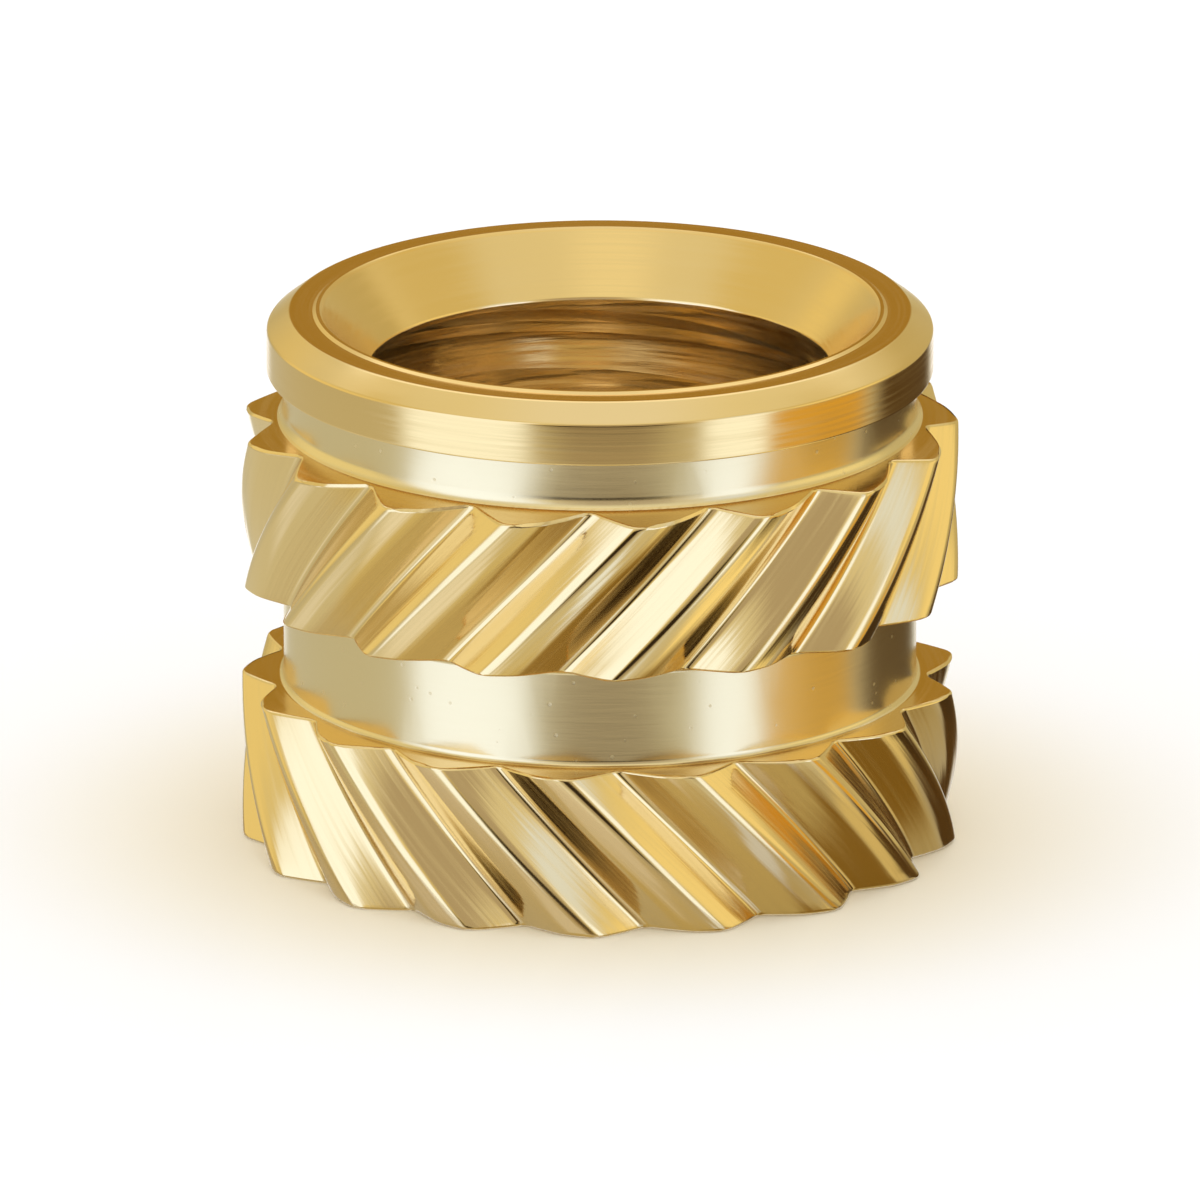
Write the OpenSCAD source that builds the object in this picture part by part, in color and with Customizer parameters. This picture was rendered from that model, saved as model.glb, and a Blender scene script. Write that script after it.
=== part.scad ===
// Threaded insert of turned and knurled brass, standing on its flat lower end.
// The origin is the centre of that end, +Z runs along the bore to the countersunk mouth,
// and -Y is the front. One piece, in millimetres.

/* [Heights, from the foot up] */
// Height of the lower knurled band
lower_band_h = 1.52; // [0.8:0.02:3]
// Height of the plain groove between the two bands
groove_h = 0.93; // [0.3:0.01:2]
// Height of the upper knurled band
upper_band_h = 1.53; // [0.8:0.01:3]
// Height of the plain neck between the upper band and the collar
neck_h = 0.45; // [0.2:0.01:1.5]
// Height of the collar, its chamfer included
collar_h = 0.57; // [0.3:0.01:1.2]

/* [Diameters] */
// Diameter over the tips of the teeth
knurl_d = 6.6; // [6.4:0.05:7.4]
// Diameter of the groove between the bands
groove_d = 5.8; // [5.5:0.05:5.9]
// Diameter of the neck under the collar
neck_d = 5.8; // [5.5:0.05:5.9]
// Diameter of the collar
collar_d = 6.1; // [5.9:0.05:6.8]

/* [Bore] */
// Diameter of the bore, as drilled for an M5 x 0.8 thread
bore_d = 4.2; // [3.8:0.05:4.4]
// Diameter of the wide countersink at the mouth
mouth_d = 5.1; // [4.6:0.05:5.3]
// Depth of the wide countersink
mouth_depth = 0.55; // [0.2:0.01:1]
// Diameter of the small countersink at the foot
exit_d = 5.1; // [4.5:0.05:5.3]
// Depth of the small countersink
exit_depth = 0.45; // [0.1:0.01:0.8]

/* [Teeth] */
// Number of teeth round each band
teeth = 17; // [12:1:24]
// Depth of the grooves between the teeth
tooth_depth = 0.31; // [0.2:0.01:0.36]
// Angle between a tooth and the bore's axis, at the tooth tips
helix_angle = 45; // [20:1:50]
// Share of a tooth's pitch taken by its steep flank
steep_share = 0.34; // [0.15:0.01:0.4]
// Share of a tooth's pitch taken by its sloping land
land_share = 0.26; // [0.2:0.01:0.35]
// Share of the tooth's depth at which the land starts
land_level = 0.75; // [0.5:0.01:0.9]
// Width of the flat at the bottom of each groove
root_flat = 0.04; // [0.02:0.01:0.1]
// Width of the flat along each tooth's tip
tip_flat = 0.04; // [0.02:0.01:0.1]
// Turn of the lower band about the bore's axis
lower_turn = -81.9; // [-90:0.1:90]
// Turn of the upper band about the bore's axis
upper_turn = -96.6; // [-100:0.1:90]

/* [Edges] */
// Width of the collar's chamfer, measured outwards
collar_chamfer = 0.21; // [0.05:0.01:0.25]
// Height of the collar's chamfer
collar_chamfer_h = 0.18; // [0.05:0.01:0.25]
// Broken edge round the foot
foot_edge = 0.05; // [0.02:0.01:0.12]
// Fall of the upper teeth's ends from their roots to their tips
shoulder_fall = 0.07; // [0.03:0.01:0.3]
// Radius of the fillet from the upper teeth to the neck
shoulder_r = 0.14; // [0.03:0.01:0.2]
// Radius of the fillets at both ends of the groove
groove_fillet_r = 0.06; // [0.02:0.01:0.1]

/* [Hidden] */

knurl_r = knurl_d / 2;
root_r = knurl_r - tooth_depth;
groove_r = groove_d / 2;
neck_r = neck_d / 2;
collar_r = collar_d / 2;
bore_r = bore_d / 2;
mouth_r = mouth_d / 2;
exit_r = exit_d / 2;

groove_z = lower_band_h;
upper_z = groove_z + groove_h;
shoulder_z = upper_z + upper_band_h;
collar_z = shoulder_z + neck_h;
length = collar_z + collar_h;

pitch_angle = 360 / teeth;
// Turn of a tooth for each millimetre of height
helix_rate = tan(helix_angle) / knurl_r * 180 / PI;
root_half = root_flat / root_r * 90 / PI;
tip_half = tip_flat / knurl_r * 90 / PI;
// Height of one flat step along a twisted band
step_h = 0.16;
// How far a cutting shape runs past the surface that it cuts
over = 1;
// Segments of each fillet, and how far it stays within the bottoms of the teeth
fillet_steps = 5;
fillet_gap = 0.01;
brass = [0.83, 0.69, 0.4];
$fn = 96;

function polar(r, a) = [r * cos(a), r * sin(a)];

// Section of a knurled band. Each tooth rises by a steep flank to a sloping land,
// and falls from its tip by one long flank. Angles count from the root on the steep side.
function tooth(a) = [
    polar(root_r, a + root_half),
    polar(root_r + tooth_depth * land_level, a + pitch_angle * steep_share),
    polar(knurl_r, a + pitch_angle * (steep_share + land_share) - tip_half),
    polar(knurl_r, a + pitch_angle * (steep_share + land_share) + tip_half),
    polar(root_r, a + pitch_angle - root_half)
];

module tooth_ring() {
    polygon([for (i = [0 : teeth - 1]) each tooth(i * pitch_angle)]);
}

// A band of teeth that lean to the left going up, with its long flanks to the right
module left_hand_band(h) {
    linear_extrude(height = h, twist = helix_rate * h, slices = ceil(h / step_h))
        tooth_ring();
}

// The same band seen in a mirror, so that its teeth lean to the right
module right_hand_band(h) {
    mirror([0, 1, 0]) left_hand_band(h);
}

// The lower band, inside a cone that breaks the sharp edge round the foot
module lower_band() {
    intersection() {
        rotate([0, 0, lower_turn]) left_hand_band(lower_band_h);
        rotate_extrude()
            polygon([
                [0, -over],
                [knurl_r - foot_edge - over, -over],
                [knurl_r + over, foot_edge + over],
                [knurl_r + over, lower_band_h + over],
                [0, lower_band_h + over]
            ]);
    }
}

// The upper band, inside a low cone that slopes the ends of its teeth
module upper_band() {
    fall_rate = shoulder_fall / tooth_depth;
    translate([0, 0, upper_z])
        intersection() {
            rotate([0, 0, upper_turn]) right_hand_band(upper_band_h);
            rotate_extrude()
                polygon([
                    [0, -over],
                    [knurl_r + over, -over],
                    [knurl_r + over, upper_band_h - shoulder_fall - over * fall_rate],
                    [root_r - over, upper_band_h + over * fall_rate],
                    [0, upper_band_h + over * fall_rate]
                ]);
        }
}

// Fillet from the end of a band at height z up to a plain wall, no wider than the step
// between the wall and the bottoms of the teeth. A direction of -1 sends it downwards.
function fillet(wall_r, z, r, direction) =
    let (
        reach = max(min(r, root_r - fillet_gap - wall_r), r / 10),
        first = asin(1 - reach / r)
    )
    [for (i = [0 : fillet_steps])
        let (a = first + (90 - first) * i / fillet_steps)
        [wall_r + r * (1 - sin(a)), z + direction * r * (cos(first) - cos(a))]];

function reversed(points) = [for (i = [len(points) - 1 : -1 : 0]) points[i]];

// The turned blank inside the bands: groove, neck and chamfered collar, with their fillets
module turned_blank() {
    rotate_extrude()
        polygon(concat(
            [
                [0, foot_edge],
                [groove_r, foot_edge],
                [groove_r, groove_z - groove_fillet_r]
            ],
            fillet(groove_r, groove_z, groove_fillet_r, 1),
            reversed(fillet(groove_r, upper_z, groove_fillet_r, -1)),
            [
                [groove_r, upper_z + groove_fillet_r],
                [neck_r, shoulder_z - shoulder_r]
            ],
            fillet(neck_r, shoulder_z, shoulder_r, 1),
            [
                [neck_r, collar_z],
                [collar_r, collar_z],
                [collar_r, length - collar_chamfer_h],
                [collar_r - collar_chamfer, length],
                [0, length]
            ]
        ));
}

// What the bore takes out, with the countersink at each end
module bore_cut() {
    mouth_rate = (mouth_r - bore_r) / mouth_depth;
    exit_rate = (exit_r - bore_r) / exit_depth;
    rotate_extrude()
        polygon([
            [0, -over],
            [exit_r + over * exit_rate, -over],
            [bore_r, exit_depth],
            [bore_r, length - mouth_depth],
            [mouth_r + over * mouth_rate, length + over],
            [0, length + over]
        ]);
}

module insert_body() {
    color(brass)
        difference() {
            union() {
                turned_blank();
                lower_band();
                upper_band();
            }
            bore_cut();
        }
}

insert_body();
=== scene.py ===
# Threaded insert of turned, knurled and tapped brass on a pale floor.
# The insert is modelled here in millimetres and brought to metres at the end.
import math

import bmesh
import bpy
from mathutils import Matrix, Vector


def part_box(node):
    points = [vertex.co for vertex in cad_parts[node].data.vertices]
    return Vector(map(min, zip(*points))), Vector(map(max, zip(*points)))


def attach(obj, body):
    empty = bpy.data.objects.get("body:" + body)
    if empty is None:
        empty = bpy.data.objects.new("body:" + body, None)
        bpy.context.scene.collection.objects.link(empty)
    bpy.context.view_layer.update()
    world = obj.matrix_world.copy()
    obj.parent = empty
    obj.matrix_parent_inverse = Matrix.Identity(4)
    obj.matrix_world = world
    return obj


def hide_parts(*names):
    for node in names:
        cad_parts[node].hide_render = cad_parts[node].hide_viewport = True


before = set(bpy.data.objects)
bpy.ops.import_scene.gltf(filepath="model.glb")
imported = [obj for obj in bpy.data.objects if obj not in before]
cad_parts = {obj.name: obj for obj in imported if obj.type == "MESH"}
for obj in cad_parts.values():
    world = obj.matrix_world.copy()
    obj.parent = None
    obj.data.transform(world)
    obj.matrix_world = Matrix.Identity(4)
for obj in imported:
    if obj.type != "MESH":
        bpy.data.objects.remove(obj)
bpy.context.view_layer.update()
bpy.ops.object.select_all(action="DESELECT")

mm = 0.001
nodeLow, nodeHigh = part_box("insert_body")

# Sizes in millimetres and angles in degrees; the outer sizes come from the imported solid.
# The lip's two crest lines and the start of the cone inside it are shares of the lip's width.
body = {
    "length": nodeHigh.z / mm,
    "tipRadius": nodeHigh.x / mm,
    "grooveRadius": 2.9,
    "neckRadius": 2.9,
    "collarRadius": 3.05,
    "lowerTop": 1.52,
    "upperFoot": 2.45,
    "shoulderTop": 3.98,
    "shoulderFall": 0.07,
    "shoulderFillet": 0.14,
    "shoulderMargin": 0.04,
    "grooveFillet": 0.06,
    "filletGap": 0.035,
    "filletRings": 5,
    "endRings": 3,
    "collarFoot": 4.43,
    "chamferWidth": 0.21,
    "chamferHeight": 0.18,
    "footEdge": 0.05,
    "toothEndEdge": 0.025,
    "mouthRadius": 2.55,
    "mouthDepth": 0.55,
    "lipWidth": 0.08,
    "lipHeight": 0.02,
    "lipCrest": (0.6, 0.2),
    "coneStart": 0.3,
    "exitRadius": 2.55,
    "exitDepth": 0.45,
    "boreRadius": 2.1,
    "edgeRound": 0.02,
    "edgeSegments": 2,
    "edgeAngle": 36,
    "smoothAngle": 30,
}

# A tooth runs from its root up a steep flank, over a land to its tip, and down a long flank.
# Corners are share of the pitch, share of the depth, rounding in mm and points on the rounding.
# All the points together are a multiple of four, so that the first circle has one at the front.
teeth = {
    "count": 17,
    "depth": 0.31,
    "corners": [
        (0.0, 0.0, 0.09, 5),
        (0.34, 0.75, 0.09, 4),
        (0.6, 1.0, 0.1, 5),
    ],
    "flankPoints": [1, 1, 4],
    "helixAngle": 45,
    "ringStep": 0.1,
    "lowerRoot": 8.1,
    "upperRoot": -6.6,
}

thread = {
    "pitch": 0.8,
    "majorRadius": 2.5,
    "flatWidth": 0.1,
    "flankAngle": 30,
    "reachInside": 0.05,
    "steps": 136,
    "top": 4.4,
    "startHeight": -0.95,
    "turns": 8,
    "mergeDistance": 1e-5,
}

pitchAngle = 360 / teeth["count"]
helixRate = math.degrees(math.tan(math.radians(teeth["helixAngle"])) / body["tipRadius"])
rootRadius = body["tipRadius"] - teeth["depth"]


def roundedOutline():
    # One tooth as (share of the pitch, radius) pairs, its corners rounded by short curves
    pitchLength = math.radians(pitchAngle) * (rootRadius + teeth["depth"] / 2)
    corners = [(share * pitchLength, level * teeth["depth"]) for share, level, _, _ in teeth["corners"]]
    count = len(corners)
    outline = []
    for i, (x, y) in enumerate(corners):
        rounding, pointsOnCurve = teeth["corners"][i][2:]
        before = corners[i - 1] if i else (corners[-1][0] - pitchLength, corners[-1][1])
        after = corners[i + 1] if i + 1 < count else (corners[0][0] + pitchLength, corners[0][1])
        start = pointTowards((x, y), before, rounding)
        end = pointTowards((x, y), after, rounding)
        for k in range(pointsOnCurve):
            t = k / (pointsOnCurve - 1)
            weights = ((1 - t) ** 2, 2 * t * (1 - t), t**2)
            points = (start, (x, y), end)
            outline.append(tuple(sum(w * p[j] for w, p in zip(weights, points)) for j in (0, 1)))
        nextRounding = teeth["corners"][(i + 1) % count][2]
        flankEnd = pointTowards(after, (x, y), nextRounding)
        pointsOnFlank = teeth["flankPoints"][i]
        for k in range(1, pointsOnFlank + 1):
            t = k / (pointsOnFlank + 1)
            outline.append(tuple(end[j] + (flankEnd[j] - end[j]) * t for j in (0, 1)))
    return [(x / pitchLength, rootRadius + y) for x, y in outline]


def pointTowards(start, goal, distance):
    length = math.dist(start, goal)
    return tuple(a + (b - a) * distance / length for a, b in zip(start, goal))


outline = roundedOutline()
pointCount = len(outline)

# The ring being worked on: its vertices in order round the axis, and each outline point's place
ring = {"order": [], "radius": [], "turn": [], "height": []}

# Smaller moves than this are left out, and a ring's order starts a little before its first point
smallestMove = 1e-9
orderMargin = 0.1


def selectVertices(mesh, indices):
    bpy.ops.mesh.select_all(action="DESELECT")
    shape = bmesh.from_edit_mesh(mesh)
    shape.verts.ensure_lookup_table()
    for i in indices:
        shape.verts[i].select = True
    shape.select_flush(True)
    bmesh.update_edit_mesh(mesh)


def readRing(mesh):
    # The selected vertices in order round the axis, from the first outline point on
    shape = bmesh.from_edit_mesh(mesh)
    start = ring["turn"][0] - orderMargin
    chosen = []
    for v in shape.verts:
        if v.select:
            azimuth = math.degrees(math.atan2(v.co.x, -v.co.y))
            chosen.append(((azimuth - start) % 360, v.index))
    return [index for _, index in sorted(chosen)]


def moveSelected(centreHeight, scale, turn, rise):
    if abs(scale - 1) > smallestMove:
        bpy.ops.transform.resize(value=(scale, scale, 1), center_override=(0, 0, centreHeight))
    if abs(turn) > smallestMove:
        bpy.ops.transform.rotate(
            value=-math.radians(turn), orient_axis="Z", center_override=(0, 0, centreHeight)
        )
    if abs(rise) > smallestMove:
        bpy.ops.transform.translate(value=(0, 0, rise))


def shapeRing(mesh, radii, turns, heights):
    # Brings the ring's points to new places, all at once where they move alike
    moves = []
    for i in range(pointCount):
        scale = radii[i] / ring["radius"][i]
        turn = turns[i] - ring["turn"][i]
        rise = heights[i] - ring["height"][i]
        moves.append((ring["height"][i], scale, turn, rise))
    alike = all(math.dist(move, moves[0]) < smallestMove for move in moves)
    groups = [range(pointCount)] if alike else [[i] for i in range(pointCount)]
    for group in groups:
        selectVertices(mesh, [v for k, v in enumerate(ring["order"]) if k % pointCount in group])
        moveSelected(*moves[group[0]])
    ring["radius"], ring["turn"], ring["height"] = list(radii), list(turns), list(heights)


def nextRing(mesh, radii, turns, heights):
    # Extrudes the last ring and brings the new one to its place
    selectVertices(mesh, ring["order"])
    bpy.ops.mesh.extrude_region_move()
    ring["order"] = readRing(mesh)
    shapeRing(mesh, radii, turns, heights)


def plainRing(mesh, radius, height, turns=None):
    # A round ring whose points keep their azimuths unless told otherwise
    nextRing(mesh, [radius] * pointCount, turns or ring["turn"], [height] * pointCount)


def evenTurns(start):
    return [start + i * pitchAngle / pointCount for i in range(pointCount)]


def lowerTurns(height):
    # The lower band's outline runs with the azimuth and turns back going up
    start = teeth["lowerRoot"] - helixRate * height
    return [start + share * pitchAngle for share, _ in outline]


def upperTurns(heights):
    # The upper band is the mirror of the lower one: its outline runs the other way
    turns = []
    for i in range(pointCount):
        share = (1 if i else 0) - outline[-i][0]
        rise = heights[i] - body["upperFoot"]
        turns.append(teeth["upperRoot"] + share * pitchAngle + helixRate * rise)
    return turns


def bandHeights(low, high):
    count = math.ceil((high - low) / teeth["ringStep"])
    return [low + (high - low) * i / count for i in range(count + 1)]


def endInsets(edge):
    # How a band's end is rounded: (how far the teeth are drawn in, distance from the end)
    bends = [math.pi / 2 * k / body["endRings"] for k in range(body["endRings"])]
    return [(edge * (1 - math.sin(bend)), edge * (1 - math.cos(bend))) for bend in bends]


def insetRadii(radii, inset):
    return [radius - inset for radius in radii]


def filletPath(wallRadius, fillet, start, direction):
    # From a band's end at the start height round to the wall, as (radius, height) pairs
    reach = min(fillet, rootRadius - body["filletGap"] - wallRadius)
    firstBend = math.asin(1 - reach / fillet)
    path = []
    for k in range(body["filletRings"] + 1):
        bend = firstBend + (math.pi / 2 - firstBend) * k / body["filletRings"]
        radius = wallRadius + fillet * (1 - math.sin(bend))
        path.append((radius, start + direction * fillet * (math.cos(firstBend) - math.cos(bend))))
    return path


def makeInsert():
    vertexCount = teeth["count"] * pointCount
    bpy.ops.mesh.primitive_circle_add(vertices=vertexCount, radius=rootRadius)
    insert = bpy.context.object
    insert.name = "insert_body_fine"
    mesh = insert.data
    bpy.ops.object.mode_set(mode="EDIT")
    bpy.ops.mesh.select_mode(type="VERT")
    bpy.ops.mesh.select_all(action="SELECT")

    # The circle's points lie at even azimuths, and the first one past the lower root starts the order
    step = pitchAngle / pointCount
    lowerRadii = [radius for _, radius in outline]
    firstTurns = lowerTurns(0)
    ring["turn"] = evenTurns(math.ceil(firstTurns[0] / step) * step)
    ring["radius"] = [rootRadius] * pointCount
    ring["height"] = [0.0] * pointCount
    ring["order"] = readRing(mesh)
    firstRing = list(ring["order"])
    shapeRing(mesh, insetRadii(lowerRadii, body["footEdge"]), firstTurns, ring["height"])

    # Lower band, from the rounded foot edge to its flat upper end
    for inset, z in endInsets(body["footEdge"])[1:]:
        nextRing(mesh, insetRadii(lowerRadii, inset), lowerTurns(z), [z] * pointCount)
    edge = body["toothEndEdge"]
    for z in bandHeights(body["footEdge"], body["lowerTop"] - edge):
        nextRing(mesh, lowerRadii, lowerTurns(z), [z] * pointCount)
    for inset, distance in reversed(endInsets(edge)):
        z = body["lowerTop"] - distance
        nextRing(mesh, insetRadii(lowerRadii, inset), lowerTurns(z), [z] * pointCount)
    print("insert: lower band done")

    # Groove, whose middle ring brings each point near its place on the upper band's outline
    for radius, height in filletPath(body["grooveRadius"], body["grooveFillet"], body["lowerTop"], 1):
        plainRing(mesh, radius, height)
    goal = upperTurns([body["upperFoot"]] * pointCount)[0]
    shift = round((goal - ring["turn"][0]) / step)
    middle = (body["lowerTop"] + body["upperFoot"]) / 2
    plainRing(mesh, body["grooveRadius"], middle, evenTurns(goal - shift * step))
    ring["order"] = ring["order"][shift:] + ring["order"][:shift]
    ring["turn"] = evenTurns(goal)
    upperFoot = [body["upperFoot"]] * pointCount
    path = filletPath(body["grooveRadius"], body["grooveFillet"], body["upperFoot"], -1)
    for radius, height in reversed(path):
        plainRing(mesh, radius, height, upperTurns(upperFoot))
    print("insert: groove done")

    # Upper band, whose teeth slope down to their tips at the upper end
    upperRadii = [outline[-i][1] for i in range(pointCount)]
    slope = body["shoulderFall"] / teeth["depth"]
    shoulder = [body["shoulderTop"] - slope * (radius - rootRadius) for radius in upperRadii]
    for inset, distance in endInsets(edge):
        heights = [body["upperFoot"] + distance] * pointCount
        nextRing(mesh, insetRadii(upperRadii, inset), upperTurns(heights), heights)
    for z in bandHeights(body["upperFoot"] + edge, min(shoulder) - body["shoulderMargin"]):
        nextRing(mesh, upperRadii, upperTurns([z] * pointCount), [z] * pointCount)
    for inset, distance in [(0, edge)] + list(reversed(endInsets(edge))):
        heights = [z - distance for z in shoulder]
        nextRing(mesh, insetRadii(upperRadii, inset), upperTurns(heights), heights)
    print("insert: upper band done")

    # Fillet, neck, collar and chamfer, then down through the bore to the foot
    path = filletPath(body["neckRadius"], body["shoulderFillet"], body["shoulderTop"], 1)
    for radius, height in path:
        plainRing(mesh, radius, height)
    even = evenTurns(ring["turn"][0])
    lip = body["lipWidth"]
    face = body["length"] - body["lipHeight"]
    crestOutside, crestInside = body["lipCrest"]
    coneStart = body["coneStart"] * lip
    coneRate = (body["mouthRadius"] - body["boreRadius"]) / body["mouthDepth"]
    for radius, height in [
        (body["neckRadius"], body["collarFoot"]),
        (body["collarRadius"], body["collarFoot"]),
        (body["collarRadius"], body["length"] - body["chamferHeight"]),
        (body["collarRadius"] - body["chamferWidth"], face),
        (body["mouthRadius"] + lip, face),
        (body["mouthRadius"] + lip * crestOutside, body["length"]),
        (body["mouthRadius"] + lip * crestInside, body["length"]),
        (body["mouthRadius"] - coneStart * coneRate, body["length"] - coneStart),
        (body["boreRadius"], body["length"] - body["mouthDepth"]),
        (body["boreRadius"], body["exitDepth"]),
        (body["exitRadius"], 0),
    ]:
        plainRing(mesh, radius, height, even)

    # The foot's flat face closes the shape
    selectVertices(mesh, ring["order"] + firstRing)
    bpy.ops.mesh.bridge_edge_loops()
    bpy.ops.mesh.select_all(action="SELECT")
    bpy.ops.mesh.normals_make_consistent(inside=False)
    bpy.ops.object.mode_set(mode="OBJECT")
    print("insert: rings joined,", len(mesh.vertices), "vertices")
    return insert


def applyModifier(piece, kind, **settings):
    modifier = piece.modifiers.new(kind.lower(), kind)
    for name, value in settings.items():
        setattr(modifier, name, value)
    bpy.context.view_layer.objects.active = piece
    bpy.ops.object.modifier_apply(modifier=modifier.name)


def makeTap():
    # The space that the tap cuts out: one coil of the thread's groove
    reach = thread["majorRadius"] - body["boreRadius"] + thread["reachInside"]
    halfFlat = thread["flatWidth"] / 2
    halfInside = halfFlat + reach * math.tan(math.radians(thread["flankAngle"]))
    bpy.ops.mesh.primitive_plane_add(size=1, location=(0, 0, 0))
    tap = bpy.context.object
    tap.name = "tap"
    mesh = tap.data
    corners = [
        (thread["majorRadius"] - reach, -halfInside),
        (thread["majorRadius"], -halfFlat),
        (thread["majorRadius"] - reach, halfInside),
        (thread["majorRadius"], halfFlat),
    ]
    bpy.ops.object.mode_set(mode="EDIT")
    bpy.ops.mesh.select_mode(type="VERT")
    for i, (radius, height) in enumerate(corners):
        selectVertices(mesh, [i])
        shape = bmesh.from_edit_mesh(mesh)
        shape.verts.ensure_lookup_table()
        x, y, z = shape.verts[i].co
        bpy.ops.transform.translate(value=(radius - x, -y, height + thread["startHeight"] - z))
    bpy.ops.mesh.select_all(action="SELECT")
    bpy.ops.mesh.delete(type="ONLY_FACE")
    bpy.ops.object.mode_set(mode="OBJECT")
    applyModifier(
        tap,
        "SCREW",
        axis="Z",
        angle=math.tau,
        screw_offset=thread["pitch"],
        iterations=thread["turns"],
        steps=thread["steps"],
        render_steps=thread["steps"],
        use_smooth_shade=False,
    )
    bpy.ops.object.mode_set(mode="EDIT")
    bpy.ops.mesh.select_all(action="SELECT")
    bpy.ops.mesh.remove_doubles(threshold=thread["mergeDistance"])
    bpy.ops.mesh.select_all(action="SELECT")
    bpy.ops.mesh.fill_holes(sides=4)
    bpy.ops.mesh.select_all(action="SELECT")
    bpy.ops.mesh.bisect(
        plane_co=(0, 0, thread["top"]), plane_no=(0, 0, 1), use_fill=True, clear_outer=True
    )
    bpy.ops.mesh.select_all(action="SELECT")
    bpy.ops.mesh.normals_make_consistent(inside=False)
    bpy.ops.object.mode_set(mode="OBJECT")
    print("tap:", len(mesh.vertices), "vertices")
    return tap


insert = makeInsert()
applyModifier(
    insert,
    "BEVEL",
    width=body["edgeRound"],
    segments=body["edgeSegments"],
    limit_method="ANGLE",
    angle_limit=math.radians(body["edgeAngle"]),
    use_clamp_overlap=False,
)
print("insert: edges rounded,", len(insert.data.polygons), "faces")
tap = makeTap()
applyModifier(insert, "BOOLEAN", operation="DIFFERENCE", solver="EXACT", object=tap)
bpy.data.objects.remove(tap)
print("insert: tapped,", len(insert.data.polygons), "faces")

bpy.ops.object.select_all(action="DESELECT")
insert.select_set(True)
bpy.context.view_layer.objects.active = insert
bpy.ops.object.shade_smooth_by_angle(angle=math.radians(body["smoothAngle"]))
applyModifier(insert, "WEIGHTED_NORMAL", keep_sharp=True)
insert.scale = (mm, mm, mm)
bpy.ops.object.transform_apply(location=True, rotation=True, scale=True)

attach(insert, "root")
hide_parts("insert_body")


def addNode(tree, kind, **settings):
    node = tree.nodes.new(kind)
    for name, value in settings.items():
        setattr(node, name, value)
    return node


def calculate(tree, operation, first, second=None, third=None):
    # One Math node; each of its inputs is a socket or a number
    node = addNode(tree, "ShaderNodeMath", operation=operation)
    for i, value in enumerate((first, second, third)):
        if isinstance(value, bpy.types.NodeSocket):
            tree.links.new(value, node.inputs[i])
        elif value is not None:
            node.inputs[i].default_value = value
    return node.outputs[0]


def blendColours(tree, factor, first, second):
    node = addNode(tree, "ShaderNodeMix", data_type="RGBA")
    for name, value in (("Factor", factor), ("A", first), ("B", second)):
        sockets = [i for i in node.inputs if i.name == name and i.enabled]
        if isinstance(value, bpy.types.NodeSocket):
            tree.links.new(value, sockets[0])
        else:
            sockets[0].default_value = value
    return [o for o in node.outputs if o.enabled][0]


def mapRange(tree, value, before, after):
    # Carries the value from one pair of limits over to another by a smooth step
    node = addNode(tree, "ShaderNodeMapRange", interpolation_type="SMOOTHSTEP")
    tree.links.new(value, node.inputs["Value"])
    for name, number in zip(("From Min", "From Max", "To Min", "To Max"), (*before, *after)):
        node.inputs[name].default_value = number
    return node.outputs["Result"]


def placeInMm(tree):
    # The point on the insert in millimetres, as x, y, z and the distance from the axis
    coordinates = addNode(tree, "ShaderNodeTexCoord")
    parts = addNode(tree, "ShaderNodeSeparateXYZ")
    tree.links.new(coordinates.outputs["Object"], parts.inputs[0])
    x, y, z = [calculate(tree, "MULTIPLY", output, 1 / mm) for output in parts.outputs]
    squares = calculate(tree, "MULTIPLY_ADD", x, x, calculate(tree, "MULTIPLY", y, y))
    return x, y, z, calculate(tree, "SQRT", squares)


def noiseAt(tree, x, y, z, scales, detail):
    # Noise drawn out along the axes by its three scales, in waves to the millimetre
    vector = addNode(tree, "ShaderNodeCombineXYZ")
    for i, (value, scale) in enumerate(zip((x, y, z), scales)):
        tree.links.new(calculate(tree, "MULTIPLY", value, scale), vector.inputs[i])
    noise = addNode(tree, "ShaderNodeTexNoise")
    noise.inputs["Scale"].default_value = 1
    noise.inputs["Detail"].default_value = detail
    tree.links.new(vector.outputs[0], noise.inputs["Vector"])
    return noise.outputs["Fac"]


def makeGroup(name, fill):
    # A node group with a height for the bump and a change of roughness
    group = bpy.data.node_groups.new(name, "ShaderNodeTree")
    for output in ("Height", "Roughness"):
        group.interface.new_socket(output, in_out="OUTPUT", socket_type="NodeSocketFloat")
    end = addNode(group, "NodeGroupOutput")
    height, roughness = fill(group)
    group.links.new(height, end.inputs["Height"])
    group.links.new(roughness, end.inputs["Roughness"])
    return group


# What each kind of mark is made of. Scales are waves to the millimetre along x, y and z, a share
# is how much of one thing is added to another, and roughness goes with the two limits before it.
marks = {
    "tooth": {
        "bandSplit": 2.0,
        "broadScales": (7, 7, 0.35),
        "fineScales": (22, 22, 0.6),
        "detail": 2,
        "broadShare": 2.2,
        "limits": (0.4, 0.7),
        "roughness": (0.1, 0.24),
    },
    "turning": {
        "radiusShare": 0.9,
        "scales": (0.5, 0.5, 34),
        "detail": 3,
        "limits": (0.35, 0.7),
        "roughness": (0.14, 0.24),
    },
    "satin": {
        "scales": (1.5, 1.5, 26),
        "detail": 3,
        "pitsPerMm": 5.5,
        "pitSizes": (0.04, 0.13),
        "pitShare": 0.9,
        "roughness": (0.4, 0.24),
    },
    "tap": {
        "radiusShare": 0.6,
        "broadScales": (0.9, 0.9, 8),
        "broadDetail": 1,
        "fineScales": (1.4, 1.4, 22),
        "fineDetail": 2,
        "broadShare": 4.0,
        "limits": (0.35, 0.7),
        "roughness": (0.12, 0.24),
    },
}


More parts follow.
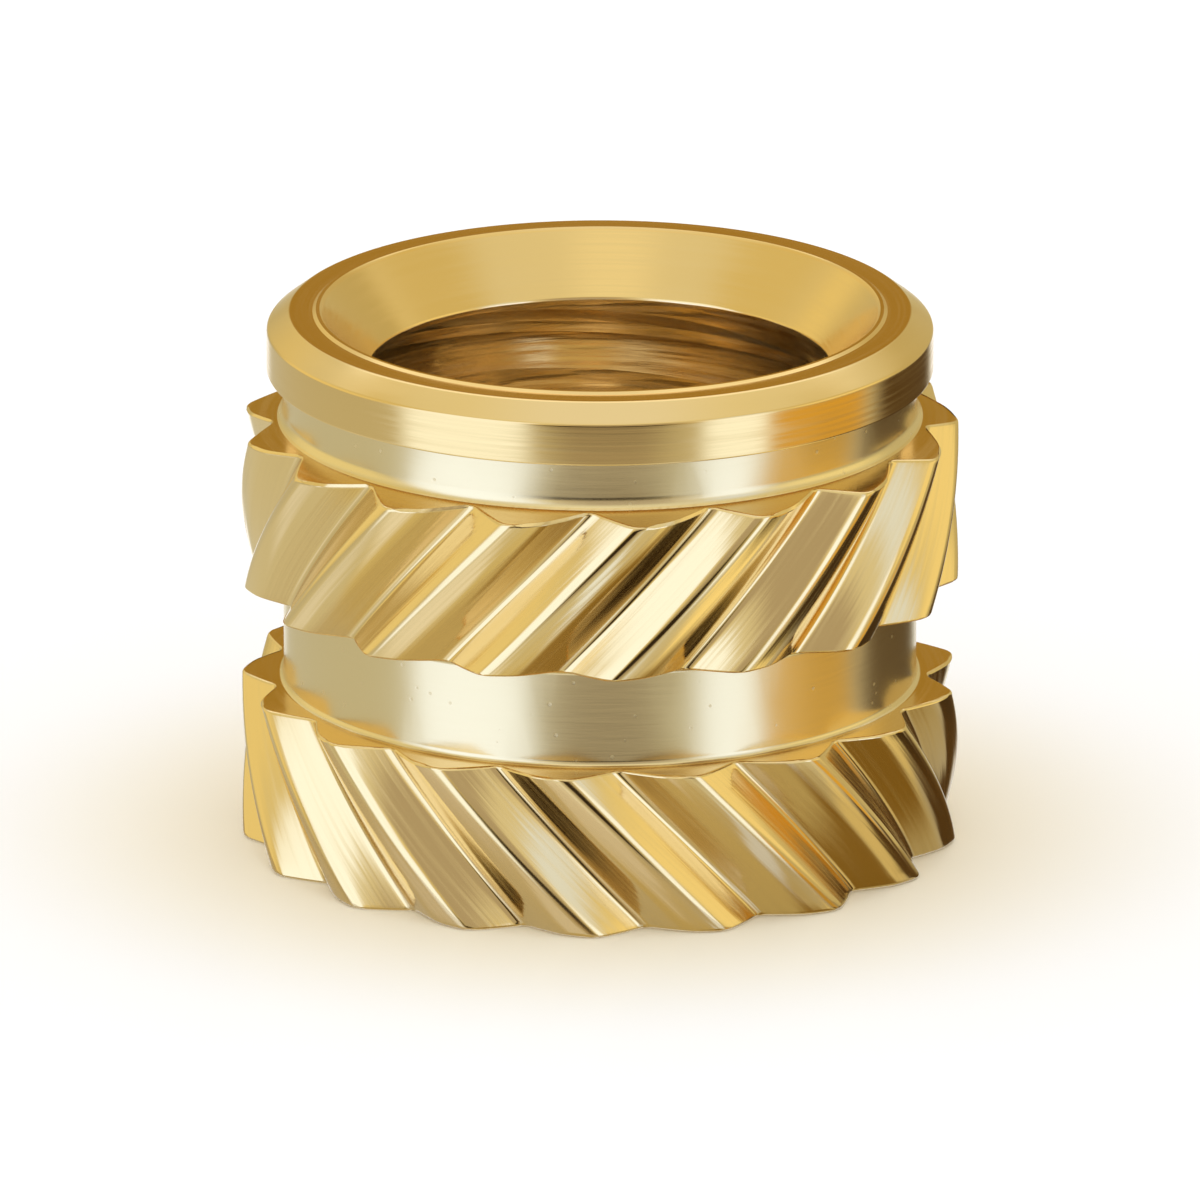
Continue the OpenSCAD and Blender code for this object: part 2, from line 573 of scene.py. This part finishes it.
def toothStreaks(tree):
    # Untwists the bands, so that the streaks run along the teeth of either band
    look = marks["tooth"]
    x, y, z, _ = placeInMm(tree)
    isUpper = calculate(tree, "GREATER_THAN", z, look["bandSplit"])
    direction = calculate(tree, "MULTIPLY_ADD", isUpper, -2, 1)
    rate = math.radians(helixRate)
    turn = calculate(tree, "MULTIPLY", calculate(tree, "MULTIPLY", z, rate), direction)
    cosine = calculate(tree, "COSINE", turn)
    sine = calculate(tree, "SINE", turn)
    back = calculate(tree, "MULTIPLY", y, calculate(tree, "MULTIPLY", sine, -1))
    across = calculate(tree, "MULTIPLY_ADD", x, cosine, back)
    along = calculate(tree, "MULTIPLY_ADD", x, sine, calculate(tree, "MULTIPLY", y, cosine))
    broad = noiseAt(tree, across, along, z, look["broadScales"], look["detail"])
    fine = noiseAt(tree, across, along, z, look["fineScales"], look["detail"])
    height = calculate(tree, "MULTIPLY_ADD", broad, look["broadShare"], fine)
    return height, mapRange(tree, fine, look["limits"], look["roughness"])


def turningMarks(tree):
    # Fine rings round the axis, which follow both the height and the radius
    look = marks["turning"]
    x, y, z, radius = placeInMm(tree)
    path = calculate(tree, "MULTIPLY_ADD", radius, look["radiusShare"], z)
    fine = noiseAt(tree, x, y, path, look["scales"], look["detail"])
    return fine, mapRange(tree, fine, look["limits"], look["roughness"])


def satinMarks(tree):
    # Faint turning lines with a few tiny pits
    look = marks["satin"]
    x, y, z, _ = placeInMm(tree)
    fine = noiseAt(tree, x, y, z, look["scales"], look["detail"])
    cells = addNode(tree, "ShaderNodeTexVoronoi")
    vector = addNode(tree, "ShaderNodeCombineXYZ")
    for i, value in enumerate((x, y, z)):
        tree.links.new(value, vector.inputs[i])
    tree.links.new(vector.outputs[0], cells.inputs["Vector"])
    cells.inputs["Scale"].default_value = look["pitsPerMm"]
    pits = mapRange(tree, cells.outputs["Distance"], look["pitSizes"], (0, 1))
    height = calculate(tree, "MULTIPLY_ADD", pits, look["pitShare"], fine)
    return height, mapRange(tree, pits, (0, 1), look["roughness"])


def tapMarks(tree):
    # Torn streaks that the tap leaves along the thread
    look = marks["tap"]
    x, y, z, radius = placeInMm(tree)
    path = calculate(tree, "MULTIPLY_ADD", radius, look["radiusShare"], z)
    broad = noiseAt(tree, x, y, path, look["broadScales"], look["broadDetail"])
    fine = noiseAt(tree, x, y, path, look["fineScales"], look["fineDetail"])
    height = calculate(tree, "MULTIPLY_ADD", broad, look["broadShare"], fine)
    return height, mapRange(tree, fine, look["limits"], look["roughness"])


# Each kind of mark is one node group, placed in every finish that has it
markGroups = {}
for fill in (toothStreaks, satinMarks, turningMarks, tapMarks):
    markGroups[fill.__name__] = makeGroup(fill.__name__, fill)

# Each finish has its colour, its kind of marks and the depth of the marks in mm
finishes = {
    "brightBrass": {"colour": (0.84, 0.66, 0.34), "marks": "toothStreaks", "depth": 0.001},
    "satinBrass": {"colour": (0.83, 0.7, 0.42), "marks": "satinMarks", "depth": 0.0006},
    "turnedBrass": {"colour": (0.83, 0.62, 0.28), "marks": "turningMarks", "depth": 0.0005},
    "tappedBrass": {"colour": (0.86, 0.69, 0.42), "marks": "tapMarks", "depth": 0.0024},
    "facedBrass": {"colour": (0.85, 0.61, 0.25), "marks": "turningMarks", "depth": 0.0013},
}


def newMaterial(name):
    material = bpy.data.materials.new(name)
    material.use_nodes = True
    return material, material.node_tree, material.node_tree.nodes["Principled BSDF"]


def makeFinish(name):
    finish = finishes[name]
    material, tree, shader = newMaterial(name)
    shader.inputs["Base Color"].default_value = (*finish["colour"], 1)
    shader.inputs["Metallic"].default_value = 1
    group = addNode(tree, "ShaderNodeGroup", node_tree=markGroups[finish["marks"]])
    bump = addNode(tree, "ShaderNodeBump")
    bump.inputs["Strength"].default_value = 1
    bump.inputs["Distance"].default_value = finish["depth"] * mm
    tree.links.new(group.outputs["Height"], bump.inputs["Height"])
    tree.links.new(bump.outputs["Normal"], shader.inputs["Normal"])
    tree.links.new(group.outputs["Roughness"], shader.inputs["Roughness"])
    return material


# Where one finish ends and the next begins, as small distances in mm from the shapes' own sizes;
# a face whose normal's upright part is more than "endSlope" is the end of a tooth
zones = {
    "threadReach": 0.45,
    "mouthGap": 0.005,
    "lipGap": 0.004,
    "collarGap": 0.01,
    "wallReach": 0.04,
    "endSlope": 0.9,
}


def finishOf(face):
    x, y, z = face.center / mm
    radius = math.hypot(x, y)
    coneFoot = body["length"] - body["mouthDepth"]
    if radius < body["boreRadius"] + zones["threadReach"] and z < coneFoot - zones["mouthGap"]:
        return "tappedBrass"
    if z > body["length"] - body["lipHeight"] - zones["lipGap"]:
        return "facedBrass"
    if z > body["collarFoot"] - zones["collarGap"]:
        return "turnedBrass"
    if radius < body["mouthRadius"] + zones["collarGap"]:
        return "turnedBrass"
    isWall = radius < body["neckRadius"] + zones["wallReach"]
    if abs(face.normal.z) > zones["endSlope"] and not isWall:
        return "turnedBrass"
    return "satinBrass" if isWall else "brightBrass"


insert.data.materials.clear()
for name in finishes:
    insert.data.materials.append(makeFinish(name))
for face in insert.data.polygons:
    face.material_index = list(finishes).index(finishOf(face))


# The floor's colour by distance from the insert's axis: close by it holds a painted warm glow, a
# painted reflection of the brass, which fades to plain white further out. Lengths in mm.
floorSettings = {
    "side": 1000,
    "paintedGlowColour": (1, 0.935, 0.77, 1),
    "farColour": (1, 1, 1, 1),
    "nearRadius": 3.0,
    "farRadius": 6.4,
    "roughness": 0.35,
    "specular": 0.1,
}


def makeFloor():
    bpy.ops.mesh.primitive_plane_add(size=floorSettings["side"] * mm, location=(0, 0, 0))
    floor = bpy.context.object
    floor.name = "floor"
    material, tree, shader = newMaterial("pale_floor_painted_glow")
    _, _, _, radius = placeInMm(tree)
    reach = (floorSettings["nearRadius"], floorSettings["farRadius"])
    # Painted glow: the floor turns from the warm near colour to white with distance from the axis
    share = mapRange(tree, radius, reach, (0, 1))
    colour = blendColours(tree, share, floorSettings["paintedGlowColour"], floorSettings["farColour"])
    tree.links.new(colour, shader.inputs["Base Color"])
    shader.inputs["Roughness"].default_value = floorSettings["roughness"]
    shader.inputs["Specular IOR Level"].default_value = floorSettings["specular"]
    floor.data.materials.append(material)
    floor.visible_glossy = False
    print("floor: done")


# A sheet that the teeth reflect in place of the floor. It holds painted shade and a painted reflection
# of the brass: a dim warm brown, painted darker to the right and darkened as well by the insert's real
# shadow.
# Only the metal sees it. It is open under the bore and fades out towards its rim, and its colour turns
# from the left one to the right one between two distances from the middle. Lengths in mm.
paintedShadePatch = {
    "radius": 6.0,
    "corners": 64,
    "lift": 0.004,
    "opacity": 0.42,
    "hole": (2.3, 2.6),
    "fade": (4.2, 5.6),
    "leftPaintedShade": (0.42, 0.3, 0.14, 1),
    "rightPaintedShade": (0.14, 0.07, 0.015, 1),
    "colourTurn": (0.0, 4.0),
}


def makePaintedShadePatch():
    lift = paintedShadePatch["lift"] * mm
    bpy.ops.mesh.primitive_circle_add(
        vertices=paintedShadePatch["corners"],
        radius=paintedShadePatch["radius"] * mm,
        fill_type="NGON",
        location=(0, 0, lift),
    )
    patch = bpy.context.object
    patch.name = "painted_shade_patch"
    bpy.ops.object.transform_apply(location=True, rotation=True, scale=True)
    material, tree, shader = newMaterial("painted_shade_patch")
    x, _, _, radius = placeInMm(tree)
    # Painted shade: the sheet's colour darkens from the left tone to the right one along x
    share = mapRange(tree, x, paintedShadePatch["colourTurn"], (0, 1))
    colour = blendColours(tree, share, paintedShadePatch["leftPaintedShade"], paintedShadePatch["rightPaintedShade"])
    tree.links.new(colour, shader.inputs["Base Color"])
    hole = mapRange(tree, radius, paintedShadePatch["hole"], (0, 1))
    rim = mapRange(tree, radius, paintedShadePatch["fade"], (1, 0))
    cover = calculate(tree, "MULTIPLY", hole, paintedShadePatch["opacity"])
    tree.links.new(calculate(tree, "MULTIPLY", cover, rim), shader.inputs["Alpha"])
    shader.inputs["Roughness"].default_value = 1
    shader.inputs["Specular IOR Level"].default_value = 0
    patch.data.materials.append(material)
    for kind in ("camera", "diffuse", "transmission", "volume_scatter", "shadow"):
        setattr(patch, "visible_" + kind, False)
    print("floor patch: done")


makeFloor()
makePaintedShadePatch()

# What the metal reflects: soft light panels and dark cards round the insert, each between two
# azimuths (0 is the front, 90 the right) and two elevations, laid one over another in this order.
# "soft" is half the width of its blurred sides and of its blurred ends, in degrees. The room
# behind them goes by elevation, tone and level, and the plain level lights all but the metal.
studio = {
    "tones": {
        "window": (1.0, 1.15, 1.55),
        "wall": (1.0, 1.0, 1.0),
        "cream": (1.0, 0.95, 0.75),
        "taupe": (1.0, 0.87, 0.68),
        "gold": (1.0, 0.86, 0.46),
        "amber": (1.0, 0.6, 0.1),
        "bronze": (1.0, 0.6, 0.25),
    },
    "room": [
        (-90, "gold", 0.7),
        (-50, "gold", 0.72),
        (-38, "cream", 0.72),
        (-12, "cream", 0.6),
        (0, "gold", 0.6),
        (22, "gold", 0.85),
        (36, "cream", 0.8),
        (66, "cream", 0.9),
        (80, "wall", 0.95),
        (90, "wall", 0.95),
    ],
    "panels": {
        "leftFloor": {
            "azimuths": (-150, -62), "elevations": (-68, -24), "soft": (10, 5),
            "tone": "cream", "level": 0.7,
        },
        "leftFloorStrip": {
            "azimuths": (-112, -64), "elevations": (-40, -30), "soft": (8, 3),
            "tone": "wall", "level": 0.85,
        },
        "frontFloorStrip": {
            "azimuths": (-56, -9), "elevations": (-52, -30), "soft": (6, 4),
            "tone": "wall", "level": 0.95,
        },
        "rightFloorStrip": {
            "azimuths": (22, 38), "elevations": (-50, -34), "soft": (4, 4),
            "tone": "window", "level": 1.0,
        },
        "rightFloorShade": {
            "azimuths": (36, 112), "elevations": (-95, -48), "soft": (16, 5),
            "tone": "amber", "level": 0.3,
        },
        "rightFloorGlow": {
            "azimuths": (62, 104), "elevations": (-46, -33), "soft": (6, 3),
            "tone": "gold", "level": 1.15,
        },
        "leftGlow": {
            "azimuths": (-138, -84), "elevations": (-6, 26), "soft": (8, 5),
            "tone": "gold", "level": 0.95,
        },
        "rightGlow": {
            "azimuths": (70, 114), "elevations": (4, 28), "soft": (6, 5),
            "tone": "gold", "level": 1.05,
        },
        "leftWindow": {
            "azimuths": (-72, -25), "elevations": (-26, 44), "soft": (5, 4),
            "tone": "window", "level": 1.25,
        },
        "rightWindow": {
            "azimuths": (36, 61), "elevations": (-26, 26), "soft": (4, 5),
            "tone": "window", "level": 1.25,
        },
        "rightHighGlow": {
            "azimuths": (46, 67), "elevations": (27, 46), "soft": (6, 6),
            "tone": "window", "level": 0.88,
        },
        "highCard": {
            "azimuths": (-14, 30), "elevations": (10, 44), "soft": (7, 5),
            "tone": "taupe", "level": 0.5,
        },
        "neckCard": {
            "azimuths": (-15, 20), "elevations": (-24, -10), "soft": (8, 4),
            "tone": "taupe", "level": 0.46,
        },
        "horizonCard": {
            "azimuths": (-180, 180), "elevations": (-7, 4), "soft": (0, 2.5),
            "tone": "bronze", "level": 0.05,
        },
        "frontCard": {
            "azimuths": (-21, 25), "elevations": (-14, 9), "soft": (7, 3),
            "tone": "bronze", "level": 0.03,
        },
        "amberStrip": {
            "azimuths": (62, 104), "elevations": (-21, -7), "soft": (5, 3),
            "tone": "amber", "level": 0.82,
        },
        "rightCard": {
            "azimuths": (82, 160), "elevations": (-36, -21), "soft": (5, 2),
            "tone": "bronze", "level": 0.06,
        },
        "sideCard": {
            "azimuths": (112, 160), "elevations": (-24, -6), "soft": (6, 3),
            "tone": "bronze", "level": 0.1,
        },
        "coneGlow": {
            "azimuths": (124, 174), "elevations": (-12, 30), "soft": (6, 5),
            "tone": "gold", "level": 0.62,
        },
        "coneShade": {
            "azimuths": (72, 126), "elevations": (30, 52), "soft": (14, 6),
            "tone": "gold", "level": 0.76,
        },
        "coneFarShade": {
            "azimuths": (-128, -70), "elevations": (30, 52), "soft": (14, 6),
            "tone": "gold", "level": 0.8,
        },
        "overheadGlow": {
            "azimuths": (-34, 16), "elevations": (55, 68), "soft": (16, 5),
            "tone": "cream", "level": 1.02,
        },
        "backGlow": {
            "azimuths": (166, 194), "elevations": (2, 34), "soft": (4, 3),
            "tone": "amber", "level": 0.4,
        },
        "backLight": {
            "azimuths": (130, 230), "elevations": (40, 76), "soft": (10, 4),
            "tone": "wall", "level": 1.25,
        },
        "backFloor": {
            "azimuths": (164, 196), "elevations": (-60, -12), "soft": (5, 5),
            "tone": "wall", "level": 1.2,
        },
    },
    "plainLevel": 1.15,
}


def toned(tone, level):
    return (*[level * channel for channel in studio["tones"][tone]], 1)


def roomRamp(tree, rise):
    # The room behind the panels, from the floor up to straight overhead
    ramp = addNode(tree, "ShaderNodeValToRGB")
    elements = ramp.color_ramp.elements
    while len(elements) > 1:
        elements.remove(elements[-1])
    for i, (elevation, tone, level) in enumerate(studio["room"]):
        element = elements[0] if i == 0 else elements.new(elevation / 180 + 0.5)
        element.position = elevation / 180 + 0.5
        element.color = toned(tone, level)
    tree.links.new(calculate(tree, "MULTIPLY_ADD", rise, 1 / 180, 0.5), ramp.inputs["Fac"])
    return ramp.outputs["Color"]


def within(tree, angle, limits, soft):
    # 1 between the limits and 0 outside, round the whole circle
    low, high = limits
    half = (high - low) / 2
    away = calculate(tree, "PINGPONG", calculate(tree, "SUBTRACT", angle, (low + high) / 2), 180)
    return mapRange(tree, away, (half - soft, half + soft), (1, 0))


def makeStudio():
    world = bpy.data.worlds.new("studio")
    bpy.context.scene.world = world
    world.use_nodes = True
    tree = world.node_tree
    background = tree.nodes["Background"]
    direction = addNode(tree, "ShaderNodeTexCoord")
    parts = addNode(tree, "ShaderNodeSeparateXYZ")
    tree.links.new(direction.outputs["Generated"], parts.inputs[0])
    x, y, z = parts.outputs
    turn = calculate(tree, "DEGREES", calculate(tree, "ARCTAN2", x, calculate(tree, "MULTIPLY", y, -1)))
    rise = calculate(tree, "DEGREES", calculate(tree, "ARCSINE", z))
    colour = roomRamp(tree, rise)
    for panel in studio["panels"].values():
        sideSoft, endSoft = panel["soft"]
        across = within(tree, turn, panel["azimuths"], sideSoft)
        upright = within(tree, rise, panel["elevations"], endSoft)
        share = calculate(tree, "MULTIPLY", across, upright)
        colour = blendColours(tree, share, colour, toned(panel["tone"], panel["level"]))
    rays = addNode(tree, "ShaderNodeLightPath")
    level = studio["plainLevel"]
    colour = blendColours(tree, rays.outputs["Is Glossy Ray"], (level, level, level, 1), colour)
    tree.links.new(colour, background.inputs["Color"])
    background.inputs["Strength"].default_value = 1
    print("studio:", len(studio["panels"]), "panels done")


makeStudio()

# The camera's distance and its clipping in metres, the other lengths in mm
camera = {
    "elevation": 17.5,
    "distance": 0.32,
    "frameWidth": 11.0,
    "aimHeight": 2.2,
    "clipStart": 0.01,
    "clipEnd": 3,
}


def makeCamera():
    data = bpy.data.cameras.new("camera")
    data.lens = data.sensor_width * camera["distance"] / (camera["frameWidth"] * mm)
    data.clip_start = camera["clipStart"]
    data.clip_end = camera["clipEnd"]
    placed = bpy.data.objects.new("camera", data)
    bpy.context.scene.collection.objects.link(placed)
    tilt = math.radians(camera["elevation"])
    placed.location = (
        0,
        -camera["distance"] * math.cos(tilt),
        camera["distance"] * math.sin(tilt) + camera["aimHeight"] * mm,
    )
    placed.rotation_euler = (math.radians(90) - tilt, 0, 0)
    bpy.context.scene.camera = placed


makeCamera()
bpy.context.scene.view_settings.view_transform = "Standard"
